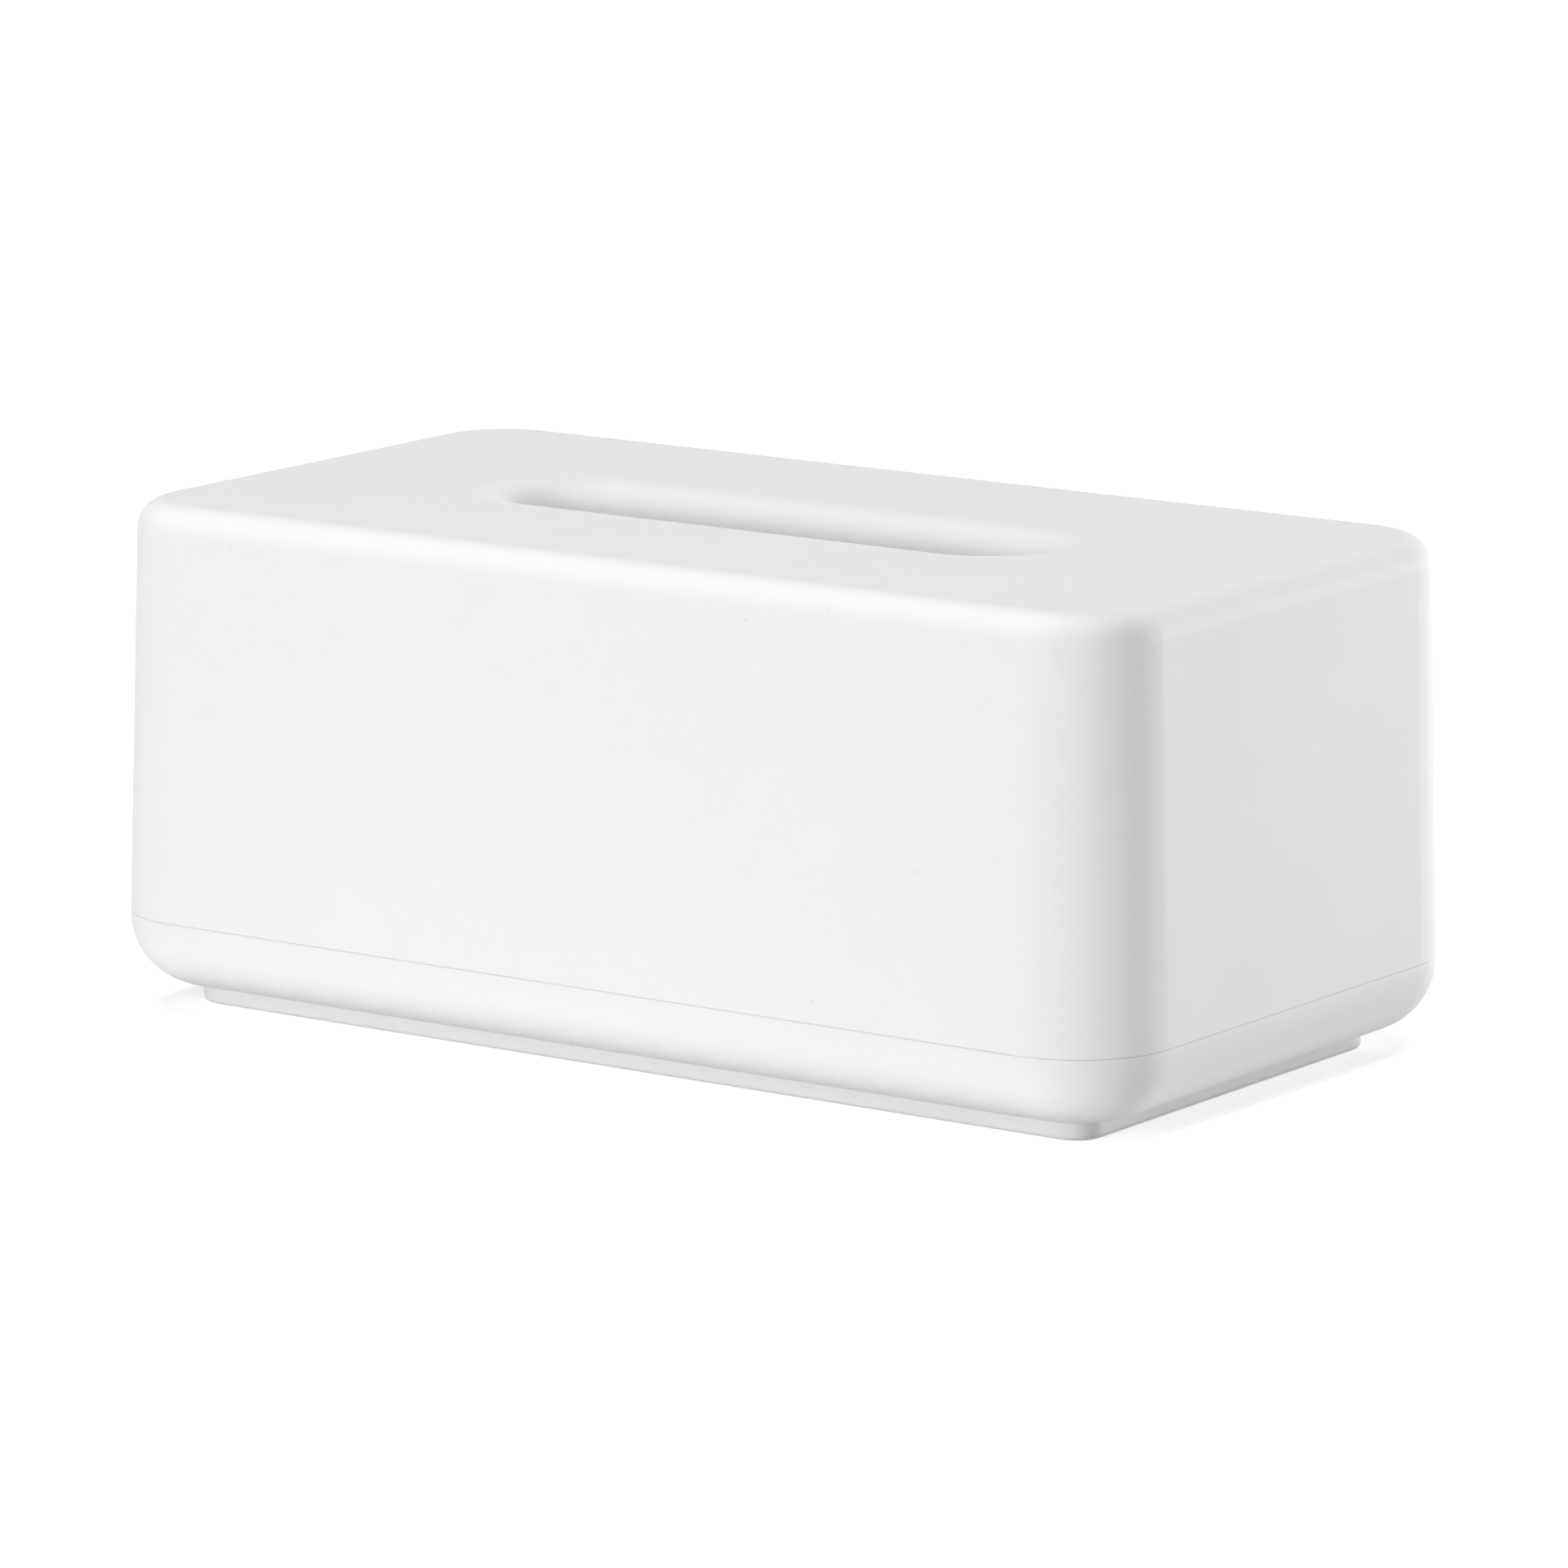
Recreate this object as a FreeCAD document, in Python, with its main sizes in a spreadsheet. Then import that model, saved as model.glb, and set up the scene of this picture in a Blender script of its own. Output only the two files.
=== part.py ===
"""Napkin box: a tall moulded cover that lifts off a shallow tray with an inset foot.

The origin is the centre of the foot's underside. +X runs along the box, the front faces -Y and
+Z is up. Every size is in millimetres and comes from the sheet called sizes.
"""
import FreeCAD, Part
import math
import os
import Sketcher

SIZES = [
    ("length", 260.0, "outside length at the line between cover and tray"),
    ("width", 142.0, "outside width at the line between cover and tray"),
    ("height", 109.6, "foot's underside to the top panel"),
    ("corner_radius", 22.0, "upright corners at the line between cover and tray"),
    ("wall", 2.5, "moulded wall of the cover and the tray"),
    ("draft_angle", 1.6, "lean of the cover's sides, in degrees"),
    ("top_radius", 6.5, "rounding round the cover's top edge"),
    ("slot_length", 125.4, "narrowest part of the slot, end to end"),
    ("slot_width", 19.4, "narrowest part of the slot, side to side"),
    ("lip_radius", 12.0, "roll of the top panel down into the slot"),
    ("lip_skirt", 2.0, "straight wall below the rolled lip"),
    ("lip_end_radius", 0.8, "rounding of the lip's lower end"),
    ("parting_gap", 0.05, "open line between cover and tray"),
    ("cover_edge_break", 0.08, "rounding of the cover's edge at that line"),
    ("tray_edge_break", 0.28, "rounding of the tray's edge at that line"),
    ("tray_radius", 15.2, "round lower edge of the tray"),
    ("tray_land", 0.85, "straight side above the tray's round edge"),
    ("foot_height", 4.3, "foot, below the tray"),
    ("foot_step", 0.3, "flat ledge between the tray's round edge and the foot"),
    ("foot_root_radius", 0.8, "hollow corner between the tray's underside and the foot"),
    ("foot_radius", 1.3, "rounding of the foot's lower edge"),
    ("rim_height", 6.0, "upstand inside the cover, above the tray's edge"),
    ("rim_wall", 1.8, "thickness of the upstand at its root"),
    ("fit_clearance", 0.4, "space between the upstand and the cover"),
    ("rim_end_radius", 0.6, "rounding of the upstand's upper end"),
    ("rest_length", 30.0, "raised rest on each short side, along the edge"),
]

NEAR = 0.001


def make_sheet(doc):
    """The driving sizes, one to a row: name, value and what it measures."""
    sheet = doc.addObject("Spreadsheet::Sheet", "sizes")
    for row, (name, value, meaning) in enumerate(SIZES, start=1):
        sheet.set("A%d" % row, name)
        sheet.set("B%d" % row, str(value))
        sheet.set("C%d" % row, meaning)
        sheet.setAlias("B%d" % row, name)
    doc.recompute()
    return sheet


def make_body(doc, name, level="0"):
    body = doc.addObject("PartDesign::Body", name)
    body.Label = name
    body.setExpression("Placement.Base.z", level)
    return body


def sketch_at(body, name, level="0"):
    """An empty sketch parallel to the body's own XY plane, at a height above it."""
    planes = {plane.Role: plane for plane in body.Origin.OriginFeatures}
    sketch = body.newObject("Sketcher::SketchObject", name)
    sketch.AttachmentSupport = [(planes["XY_Plane"], "")]
    sketch.MapMode = "FlatFace"
    sketch.setExpression("AttachmentOffset.Base.z", level)
    return sketch


def bind(sketch, constraint, name, formula):
    """Add a driving dimension with a name and tie it to the sheet."""
    index = sketch.addConstraint(constraint)
    sketch.renameConstraint(index, name)
    sketch.setExpression("Constraints." + name, formula)


def rounded_rectangle(sketch, length, width, radius):
    """A centred rectangle with tangent arcs at its corners."""
    a, b, r = 100.0, 60.0, 10.0
    up = FreeCAD.Vector(0, 0, 1)
    corners = [(a, b, 0), (-a, b, 90), (-a, -b, 180), (a, -b, 270)]
    for x, y, start in corners:
        circle = Part.Circle(FreeCAD.Vector(x, y, 0), up, r)
        sketch.addGeometry(Part.ArcOfCircle(circle, math.radians(start), math.radians(start + 90)))
    sides = [(a, b + r, -a, b + r), (-a - r, b, -a - r, -b), (-a, -b - r, a, -b - r), (a + r, -b, a + r, b)]
    for x0, y0, x1, y1 in sides:
        sketch.addGeometry(Part.LineSegment(FreeCAD.Vector(x0, y0, 0), FreeCAD.Vector(x1, y1, 0)))
    for corner in range(4):
        side = 4 + corner
        following = (corner + 1) % 4
        sketch.addConstraint(Sketcher.Constraint("Tangent", corner, 2, side, 1))
        sketch.addConstraint(Sketcher.Constraint("Tangent", side, 2, following, 1))
    for side, lie in ((4, "Horizontal"), (5, "Vertical"), (6, "Horizontal"), (7, "Vertical")):
        sketch.addConstraint(Sketcher.Constraint(lie, side))
    for corner in (1, 2, 3):
        sketch.addConstraint(Sketcher.Constraint("Equal", 0, corner))
    sketch.addConstraint(Sketcher.Constraint("Symmetric", 0, 3, 2, 3, -1, 1))
    bind(sketch, Sketcher.Constraint("Radius", 0, r), "Corner", radius)
    bind(sketch, Sketcher.Constraint("DistanceX", 5, 1, 7, 1, 2 * (a + r)), "Span", length)
    bind(sketch, Sketcher.Constraint("DistanceY", 6, 1, 4, 1, 2 * (b + r)), "Depth", width)


def stadium(sketch, length, width):
    """A centred slot shape: two straight sides and two half-round ends."""
    a, r = 50.0, 10.0
    up = FreeCAD.Vector(0, 0, 1)
    for x, start in ((a, -90), (-a, 90)):
        circle = Part.Circle(FreeCAD.Vector(x, 0, 0), up, r)
        sketch.addGeometry(Part.ArcOfCircle(circle, math.radians(start), math.radians(start + 180)))
    sketch.addGeometry(Part.LineSegment(FreeCAD.Vector(a, r, 0), FreeCAD.Vector(-a, r, 0)))
    sketch.addGeometry(Part.LineSegment(FreeCAD.Vector(-a, -r, 0), FreeCAD.Vector(a, -r, 0)))
    for first, end, second, start in ((0, 2, 2, 1), (2, 2, 1, 1), (1, 2, 3, 1), (3, 2, 0, 1)):
        sketch.addConstraint(Sketcher.Constraint("Tangent", first, end, second, start))
    sketch.addConstraint(Sketcher.Constraint("Horizontal", 2))
    sketch.addConstraint(Sketcher.Constraint("Equal", 0, 1))
    sketch.addConstraint(Sketcher.Constraint("Symmetric", 0, 3, 1, 3, -1, 1))
    bind(sketch, Sketcher.Constraint("Radius", 0, r), "EndRadius", "(%s) / 2" % width)
    centres = Sketcher.Constraint("DistanceX", 1, 3, 0, 3, 2 * a)
    bind(sketch, centres, "Centres", "%s - (%s)" % (length, width))


def short_side_rectangles(sketch, near, far, length):
    """Two like rectangles, one at each short side, from near to far of the middle and as long as given."""
    a, b, c = 100.0, 110.0, 20.0
    for number, side in enumerate((1, -1)):
        first = 4 * number
        corners = [FreeCAD.Vector(side * x, y, 0) for x, y in ((a, -c), (b, -c), (b, c), (a, c))]
        for start, end in zip(corners, corners[1:] + corners[:1]):
            sketch.addGeometry(Part.LineSegment(start, end))
        for line in range(4):
            following = first + (line + 1) % 4
            sketch.addConstraint(Sketcher.Constraint("Coincident", first + line, 2, following, 1))
        sketch.addConstraint(Sketcher.Constraint("Horizontal", first))
        sketch.addConstraint(Sketcher.Constraint("Vertical", first + 1))
        sketch.addConstraint(Sketcher.Constraint("Horizontal", first + 2))
        sketch.addConstraint(Sketcher.Constraint("Symmetric", first, 1, first + 2, 2, -1))
        for name, point, formula in (("Near", (first, 1), near), ("Far", (first, 2), far)):
            ends = (-1, 1) + point if side > 0 else point + (-1, 1)
            bind(sketch, Sketcher.Constraint("DistanceX", *ends, a), name + str(number), formula)
        along = Sketcher.Constraint("DistanceY", first + 1, 1, first + 1, 2, 2 * c)
        bind(sketch, along, "Length" + str(number), length)


def pad(body, name, sketch, length, draft="0"):
    """Solid upwards from a sketch, its sides leaning inwards by the draft."""
    feature = body.newObject("PartDesign::Pad", name)
    feature.Profile = sketch
    feature.setExpression("Length", length)
    feature.setExpression("TaperAngle", "-(%s)" % draft)
    body.Document.recompute()
    return feature


def pocket(body, name, sketch, depth, upwards=False, draft="0"):
    """Cut downwards from a sketch, or upwards, and make sure that it removes material."""
    before = body.Shape.Volume
    feature = body.newObject("PartDesign::Pocket", name)
    feature.Profile = sketch
    feature.Reversed = upwards
    feature.setExpression("Length", depth)
    feature.setExpression("TaperAngle", "-(%s)" % draft)
    body.Document.recompute()
    if not body.Shape.Volume < before - 1:
        raise RuntimeError(name + " cuts nothing")
    return feature


def rim_edges(feature, level, outer=True, inner=True):
    """Names of the edges round a feature's flat faces at a level: outer loops, inner loops or both."""
    loops = []
    for face in feature.Shape.Faces:
        box = face.BoundBox
        if abs(box.ZMin - level) < NEAR and abs(box.ZMax - level) < NEAR:
            for wire in face.Wires:
                wanted = outer if wire.isSame(face.OuterWire) else inner
                loops += wire.Edges if wanted else []
    return ["Edge%d" % index for index, edge in enumerate(feature.Shape.Edges, start=1)
            if any(edge.isSame(other) for other in loops)]


def fillet(body, name, edges, radius):
    if not edges:
        raise RuntimeError(name + " finds no edges")
    base = body.Tip
    feature = body.newObject("PartDesign::Fillet", name)
    feature.Base = (base, edges)
    feature.setExpression("Radius", radius)
    body.Tip = feature
    body.Document.recompute()
    return feature


# Heights above the foot's underside, as formulas on the sheet.
TRAY_EDGE = "(sizes.foot_height + sizes.tray_radius + sizes.tray_land)"
COVER_EDGE = "(%s + sizes.parting_gap)" % TRAY_EDGE
FLOOR = "(sizes.foot_height + sizes.wall)"

# The cover's own height, and the depth of the slot's lip below its top.
COVER_HEIGHT = "(sizes.height - %s)" % COVER_EDGE
LIP_DEPTH = "(sizes.lip_radius + sizes.lip_skirt)"

# Insets from the outline at the line between cover and tray.
RIM_INSET = "(sizes.wall + sizes.fit_clearance)"
CAVITY_INSET = "(%s + sizes.rim_wall)" % RIM_INSET
FOOT_INSET = "(sizes.tray_radius + sizes.foot_step)"


def outline(sketch, inset="0"):
    """The box's plan at the line between cover and tray, or the same drawn in by an inset."""
    rounded_rectangle(sketch, "sizes.length - 2 * (%s)" % inset, "sizes.width - 2 * (%s)" % inset,
                      "sizes.corner_radius - (%s)" % inset)


def make_cover(doc, value):
    """Shell open below, whose top rolls down into a long slot. Its own Z starts at its lower edge."""
    body = make_body(doc, "cover", COVER_EDGE)
    top = value(COVER_HEIGHT)
    ceiling = top - value("sizes.wall")

    plan = sketch_at(body, "CoverPlan")
    outline(plan)
    block = pad(body, "CoverBlock", plan, COVER_HEIGHT, "sizes.draft_angle")
    fillet(body, "CoverTopEdge", rim_edges(block, top), "sizes.top_radius")
    inside = sketch_at(body, "InsidePlan")
    outline(inside, "sizes.wall")
    hollow = pocket(body, "Inside", inside, "%s - sizes.wall" % COVER_HEIGHT, True, "sizes.draft_angle")
    fillet(body, "InsideTopEdge", rim_edges(hollow, ceiling), "sizes.top_radius - sizes.wall")

    # The slot's boss and hole first, then the roll: below before above, so that a wall is always left.
    boss = sketch_at(body, "BossPlan", "%s - %s" % (COVER_HEIGHT, LIP_DEPTH))
    stadium(boss, "sizes.slot_length + 2 * sizes.wall", "sizes.slot_width + 2 * sizes.wall")
    pad(body, "SlotBoss", boss, "%s - sizes.wall / 2" % LIP_DEPTH)
    throat = sketch_at(body, "SlotPlan", COVER_HEIGHT)
    stadium(throat, "sizes.slot_length", "sizes.slot_width")
    slot = pocket(body, "Slot", throat, LIP_DEPTH)
    underside = rim_edges(slot, ceiling, outer=False)
    below = fillet(body, "LipUnderside", underside, "sizes.lip_radius - sizes.wall")
    above = fillet(body, "LipRoll", rim_edges(below, top, outer=False), "sizes.lip_radius")
    ended = fillet(body, "LipEnd", rim_edges(above, top - value(LIP_DEPTH)), "sizes.lip_end_radius")
    fillet(body, "CoverLowerEdge", rim_edges(ended, 0), "sizes.cover_edge_break")
    return body


def foot_root_edges(feature, value):
    """Names of the edges where the foot's upright sides meet the tray's flat underside."""
    level = value("sizes.foot_height")
    half_length = value("sizes.length / 2 - " + FOOT_INSET) + NEAR
    half_width = value("sizes.width / 2 - " + FOOT_INSET) + NEAR
    names = []
    for index, edge in enumerate(feature.Shape.Edges, start=1):
        box = edge.BoundBox
        if abs(box.ZMin - level) < NEAR and abs(box.ZMax - level) < NEAR:
            if max(-box.XMin, box.XMax) < half_length and max(-box.YMin, box.YMax) < half_width:
                names.append("Edge%d" % index)
    return names


def make_tray(doc, value):
    """Shallow tray on an inset foot, with an upstand that the cover drops over."""
    body = make_body(doc, "base_tray")
    edge = value(TRAY_EDGE)

    plan = sketch_at(body, "TrayPlan", "sizes.foot_height")
    outline(plan)
    pad(body, "TrayBlock", plan, "sizes.tray_radius + sizes.tray_land")
    rim = sketch_at(body, "RimPlan", TRAY_EDGE)
    outline(rim, RIM_INSET)
    pad(body, "Rim", rim, "sizes.rim_height", "sizes.draft_angle")
    cavity = sketch_at(body, "CavityPlan", "%s + sizes.rim_height" % TRAY_EDGE)
    outline(cavity, CAVITY_INSET)
    dug = pocket(body, "Cavity", cavity, "%s + sizes.rim_height - %s" % (TRAY_EDGE, FLOOR))

    # The round inside the tray shares its centre line with the larger one outside.
    floor_edges = rim_edges(dug, value(FLOOR))
    lined = fillet(body, "CavityRound", floor_edges, "sizes.tray_radius - %s" % CAVITY_INSET)
    end_edges = rim_edges(lined, edge + value("sizes.rim_height"))
    ended = fillet(body, "RimEnd", end_edges, "sizes.rim_end_radius")
    rounded = fillet(body, "TrayRound", rim_edges(ended, value("sizes.foot_height")), "sizes.tray_radius")
    fillet(body, "TrayUpperEdge", rim_edges(rounded, edge, inner=False), "sizes.tray_edge_break")

    sole = sketch_at(body, "FootPlan")
    outline(sole, FOOT_INSET)
    standing = pad(body, "Foot", sole, "sizes.foot_height + sizes.wall / 2")
    fillet(body, "FootRoot", foot_root_edges(standing, value), "sizes.foot_root_radius")
    recess = sketch_at(body, "RecessPlan")
    outline(recess, "%s + sizes.wall" % FOOT_INSET)
    hollow = pocket(body, "FootRecess", recess, "sizes.foot_height", upwards=True)
    fillet(body, "FootEdge", rim_edges(hollow, 0, inner=False), "sizes.foot_radius")

    rests = sketch_at(body, "RestPlan", TRAY_EDGE)
    short_side_rectangles(rests, "sizes.length / 2 - sizes.wall",
                          "sizes.length / 2 - sizes.tray_edge_break", "sizes.rest_length")
    pad(body, "CoverRests", rests, "sizes.parting_gap")
    return body


def check(doc, bodies):
    """Stop if any feature failed or any piece is empty, broken or in bits."""
    for item in doc.Objects:
        if "Invalid" in item.State or "Error" in item.State:
            raise RuntimeError("%s failed: %s" % (item.Label, item.State))
    for body in bodies:
        shape = body.Shape
        if shape.isNull() or not shape.isValid() or len(shape.Solids) != 1:
            raise RuntimeError(body.Label + " is not one valid solid")


def main():
    doc = FreeCAD.newDocument("NapkinBox")
    sheet = make_sheet(doc)

    def value(formula):
        """What a formula on the sheet comes to now."""
        return sheet.evalExpression(formula)

    bodies = [make_cover(doc, value), make_tray(doc, value)]
    doc.recompute()
    check(doc, bodies)
    os.makedirs("parts", exist_ok=True)
    for body in bodies:
        body.Shape.exportStep("parts/%s.step" % body.Label)
        box = body.Shape.optimalBoundingBox()
        print("%s %.1f x %.1f x %.1f mm, %.1f cm3" % (
            body.Label, box.XLength, box.YLength, box.ZLength, body.Shape.Volume / 1000))


main()
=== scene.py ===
import math
import bpy
from mathutils import Matrix, Vector

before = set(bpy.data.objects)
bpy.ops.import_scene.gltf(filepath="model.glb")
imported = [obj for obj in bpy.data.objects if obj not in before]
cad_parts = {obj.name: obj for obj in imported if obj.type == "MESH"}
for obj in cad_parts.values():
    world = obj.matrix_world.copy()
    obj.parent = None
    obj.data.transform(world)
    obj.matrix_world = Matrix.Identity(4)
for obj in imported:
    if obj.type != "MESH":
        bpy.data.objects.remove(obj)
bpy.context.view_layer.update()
print("frame loaded:", sorted(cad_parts))


# Camera: a long lens from the front right, a little above the box
view = {
    "azimuth": 34.91,        # degrees round from the front towards the right side
    "elevation": 11.17,
    "roll": 0.135,
    "distance": 1.9204,      # from the point it is aimed at
    "lens": 208.3,           # with the sensor's width, both in millimetres
    "sensor": 36.0,
    "farthest": 20.0,
    "aim": (0.0016, 0.0004, 0.0519),
}


def directionOf(azimuth, elevation):
    a, e = math.radians(azimuth), math.radians(elevation)
    return Vector((math.sin(a) * math.cos(e), -math.cos(a) * math.cos(e), math.sin(e)))


def facing(place, back, roll=0.0):
    turn = back.to_track_quat("Z", "Y").to_matrix().to_4x4()
    return Matrix.Translation(place) @ turn @ Matrix.Rotation(math.radians(roll), 4, "Z")


def makeCamera():
    camera = bpy.data.objects.new("camera", bpy.data.cameras.new("camera"))
    camera.data.lens = view["lens"]
    camera.data.sensor_width = view["sensor"]
    camera.data.clip_end = view["farthest"]
    back = directionOf(view["azimuth"], view["elevation"])
    camera.matrix_world = facing(Vector(view["aim"]) + back * view["distance"], back, view["roll"])
    bpy.context.scene.collection.objects.link(camera)
    bpy.context.scene.camera = camera


makeCamera()
print("camera placed")


# Shader maths as Python expressions: a Value is one output socket of a node
class Value:
    def __init__(self, tree, socket):
        self.tree = tree
        self.socket = socket

    def math(self, operation, a, b):
        return node(self.tree, "ShaderNodeMath", {"operation": operation}, {0: a, 1: b}).out()

    def __add__(self, other):
        return self.math("ADD", self, other)

    def __radd__(self, other):
        return self.math("ADD", other, self)

    def __sub__(self, other):
        return self.math("SUBTRACT", self, other)

    def __rsub__(self, other):
        return self.math("SUBTRACT", other, self)

    def __mul__(self, other):
        return self.math("MULTIPLY", self, other)

    def __rmul__(self, other):
        return self.math("MULTIPLY", other, self)

    # 0 up to low, 1 from high on, and a smooth step from one to the other
    def between(self, low, high):
        settings = {"interpolation_type": "SMOOTHSTEP"}
        sockets = {"Value": self, "From Min": low, "From Max": high}
        return node(self.tree, "ShaderNodeMapRange", settings, sockets).out()


class Made:
    def __init__(self, tree, item):
        self.tree = tree
        self.item = item

    def out(self, name=0):
        return Value(self.tree, self.item.outputs[name])


def node(tree, kind, settings=None, sockets=None):
    item = tree.nodes.new(kind)
    for name, value in (settings or {}).items():
        setattr(item, name, value)
    for name, value in (sockets or {}).items():
        if isinstance(value, Value):
            tree.links.new(value.socket, item.inputs[name])
        else:
            item.inputs[name].default_value = value
    return Made(tree, item)


def noise(tree, where, size, detail=2.0, roughness=0.5):
    sockets = {"Vector": where, "Scale": 1.0 / size, "Detail": detail, "Roughness": roughness}
    return node(tree, "ShaderNodeTexNoise", None, sockets).out("Fac")


def vectorMath(tree, operation, sockets):
    kind = "Value" if operation == "LENGTH" else "Vector"
    return node(tree, "ShaderNodeVectorMath", {"operation": operation}, sockets).out(kind)


def mixColour(tree, factor, first, second):
    # inputs 6 and 7 and output 2 are the colours of a Mix node
    made = node(tree, "ShaderNodeMix", {"data_type": "RGBA"}, {0: factor, 6: first, 7: second})
    return made.out(2)


def newMaterial(name):
    material = bpy.data.materials.new(name)
    material.use_nodes = True
    material.node_tree.nodes.clear()
    return material, material.node_tree


# Moulded white plastic with a fine matt grain. Sizes in metres
plastic = {
    "colour": (0.877, 0.878, 0.889),
    "roughness": 0.64,
    "bending": 1.53,         # index of refraction
    "grain": 0.00016,        # pits of the matt mould face
    "grainDepth": 0.000004,
    "grainShade": 0.006,     # how much the pits darken the white
    "grainRoughness": 0.05,
    "waver": 0.035,          # slow unevenness of a moulded wall
    "waverDepth": 0.00002,
    "waverShade": 0.008,
    "smear": 0.02,           # where handling has polished the grain a little
    "smearEdge": (0.45, 0.75),
    "smearRoughness": 0.05,
    "fleckSpacing": 0.012,   # rare faint flecks in the white
    "fleckCore": 0.00015,    # each fades out from this radius to the next
    "fleckRadius": 0.0003,
    "fleckColour": (0.70, 0.69, 0.68),
}


def plasticMaterial():
    material, tree = newMaterial("mouldedPlastic")
    where = node(tree, "ShaderNodeTexCoord").out("Object")
    grain = noise(tree, where, plastic["grain"], 3.0, 0.65)
    waver = noise(tree, where, plastic["waver"], 1.0)
    smear = noise(tree, where, plastic["smear"], 4.0, 0.6).between(*plastic["smearEdge"])
    slow = {"Strength": 1.0, "Distance": plastic["waverDepth"], "Height": waver}
    surface = node(tree, "ShaderNodeBump", None, slow).out()
    fine = {"Strength": 1.0, "Distance": plastic["grainDepth"], "Height": grain, "Normal": surface}
    surface = node(tree, "ShaderNodeBump", None, fine).out()
    shade = 1.0 - plastic["waverShade"] + plastic["waverShade"] * waver - plastic["grainShade"] * grain
    white = vectorMath(tree, "SCALE", {0: plastic["colour"], "Scale": shade})
    cells = {"Vector": where, "Scale": 1.0 / plastic["fleckSpacing"]}
    toFleck = plastic["fleckSpacing"] * node(tree, "ShaderNodeTexVoronoi", None, cells).out("Distance")
    fleck = 1.0 - toFleck.between(plastic["fleckCore"], plastic["fleckRadius"])
    uneven = plastic["grainRoughness"] * (grain - 0.5)
    rough = plastic["roughness"] + uneven - plastic["smearRoughness"] * smear
    sockets = {
        "Base Color": mixColour(tree, fleck, white, (*plastic["fleckColour"], 1.0)),
        "Roughness": rough,
        "IOR": plastic["bending"],
        "Normal": surface,
    }
    shader = node(tree, "ShaderNodeBsdfPrincipled", None, sockets).out()
    node(tree, "ShaderNodeOutputMaterial", None, {"Surface": shader})
    return material


def dressNodes():
    material = plasticMaterial()
    for name in ("cover", "base_tray"):
        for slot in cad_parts[name].material_slots:
            slot.material = material


dressNodes()
print("materials on")


# Floor and background: pale, white to the camera, and the box still shades it
studio = {
    "floorColour": (0.90, 0.89, 0.87),
    "floorGlow": 0.55,         # near the box, where its shadow falls
    "glowGrows": (0.35, 1.5),  # over these distances it turns quite white
    "floorSize": 12.0,
    "worldColour": (0.95, 0.96, 1.0),
    "worldLight": 0.04,
}


# 1 for rays from the camera and for those that a gloss or glass sends on, else 0
def raysThatSee(tree):
    rays = node(tree, "ShaderNodeLightPath")
    return rays.out("Is Camera Ray") + rays.out("Is Glossy Ray") + rays.out("Is Transmission Ray")


def makeFloor():
    half = studio["floorSize"] / 2
    mesh = bpy.data.meshes.new("floor")
    corners = [(-half, -half, 0), (half, -half, 0), (half, half, 0), (-half, half, 0)]
    mesh.from_pydata(corners, [], [(0, 1, 2, 3)])
    floor = bpy.data.objects.new("floor", mesh)
    bpy.context.scene.collection.objects.link(floor)
    material, tree = newMaterial("paleFloor")
    seen = raysThatSee(tree)
    where = node(tree, "ShaderNodeTexCoord").out("Object")
    away = vectorMath(tree, "LENGTH", {0: where})
    glowing = studio["floorGlow"] + (1.0 - studio["floorGlow"]) * away.between(*studio["glowGrows"])
    matt = node(tree, "ShaderNodeBsdfDiffuse", None, {"Color": (*studio["floorColour"], 1.0)}).out()
    glow = node(tree, "ShaderNodeEmission", None, {"Strength": glowing * seen}).out()
    both = node(tree, "ShaderNodeAddShader", None, {0: matt, 1: glow}).out()
    node(tree, "ShaderNodeOutputMaterial", None, {"Surface": both})
    mesh.materials.append(material)


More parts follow.
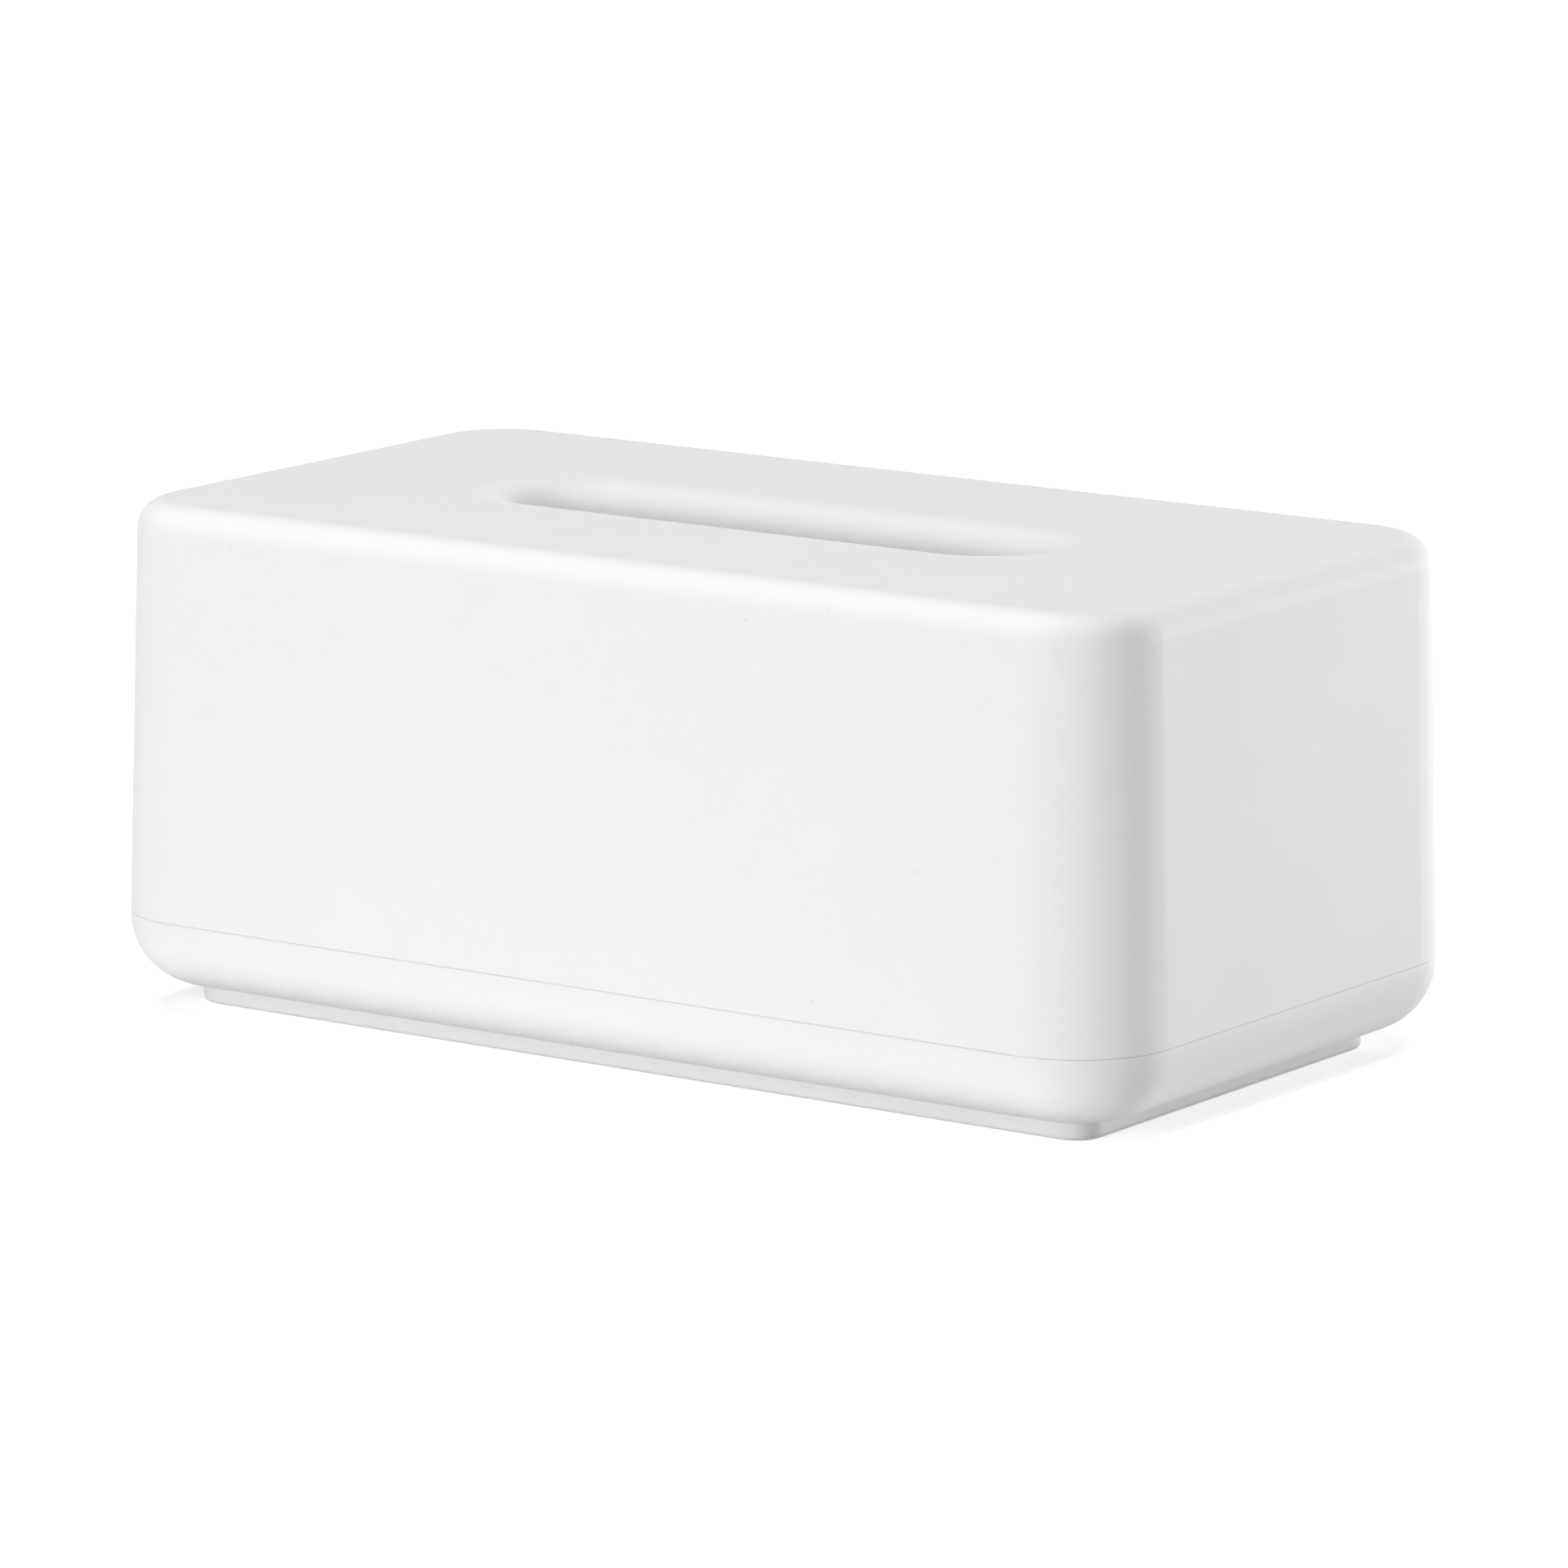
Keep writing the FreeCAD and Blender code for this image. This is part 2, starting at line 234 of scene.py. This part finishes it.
def makeWorld():
    world = bpy.data.worlds.new("studioWorld")
    bpy.context.scene.world = world
    world.use_nodes = True
    tree = world.node_tree
    tree.nodes.clear()
    seen = raysThatSee(tree)
    light = {"Color": (*studio["worldColour"], 1.0), "Strength": studio["worldLight"]}
    lit = node(tree, "ShaderNodeBackground", None, light).out()
    plain = {"Color": (1.0, 1.0, 1.0, 1.0), "Strength": 1.0}
    white = node(tree, "ShaderNodeBackground", None, plain).out()
    mixed = node(tree, "ShaderNodeMixShader", None, {0: seen, 1: lit, 2: white}).out()
    node(tree, "ShaderNodeOutputWorld", None, {"Surface": mixed})


# Soft boxes round the aim: where each one stands, its size, its power in watts and its tint. The front
# ones leave no gloss, as if behind a polarising filter, or at a glancing angle it would burn out the top
cool = (0.975, 0.98, 1.0)
warm = (1.0, 0.995, 0.98)
lampAim = (0.0, 0.0, 0.05)
softBoxes = {
    "overLeft": {
        "azimuth": -90, "elevation": 70, "distance": 2.0,
        "size": (0.7, 0.7), "power": 14.7, "tint": warm, "gloss": True,
    },
    "overRight": {
        "azimuth": 90, "elevation": 70, "distance": 2.0,
        "size": (0.7, 0.7), "power": 13.0, "tint": warm, "gloss": True,
    },
    "frontLow": {
        "azimuth": -8, "elevation": 8, "distance": 1.4,
        "size": (0.6, 0.35), "power": 8.3, "tint": cool, "gloss": False,
    },
    "frontHigh": {
        "azimuth": 0, "elevation": 24, "distance": 1.4,
        "size": (0.4, 0.4), "power": 2.6, "tint": cool, "gloss": False,
    },
    "rearRight": {
        "azimuth": 152, "elevation": 6, "distance": 2.4,
        "size": (0.8, 0.4), "power": 33.5, "tint": warm, "gloss": True,
    },
}


def makeLights():
    for name, box in softBoxes.items():
        lamp = bpy.data.lights.new(name, "AREA")
        lamp.shape = "RECTANGLE"
        lamp.size, lamp.size_y = box["size"]
        lamp.energy = box["power"]
        lamp.color = box["tint"]
        back = directionOf(box["azimuth"], box["elevation"])
        holder = bpy.data.objects.new(name, lamp)
        holder.matrix_world = facing(Vector(lampAim) + back * box["distance"], back)
        holder.visible_glossy = box["gloss"]
        bpy.context.scene.collection.objects.link(holder)


makeFloor()
makeWorld()
makeLights()
bpy.context.scene.view_settings.view_transform = "Standard"
print("floor and lights set")
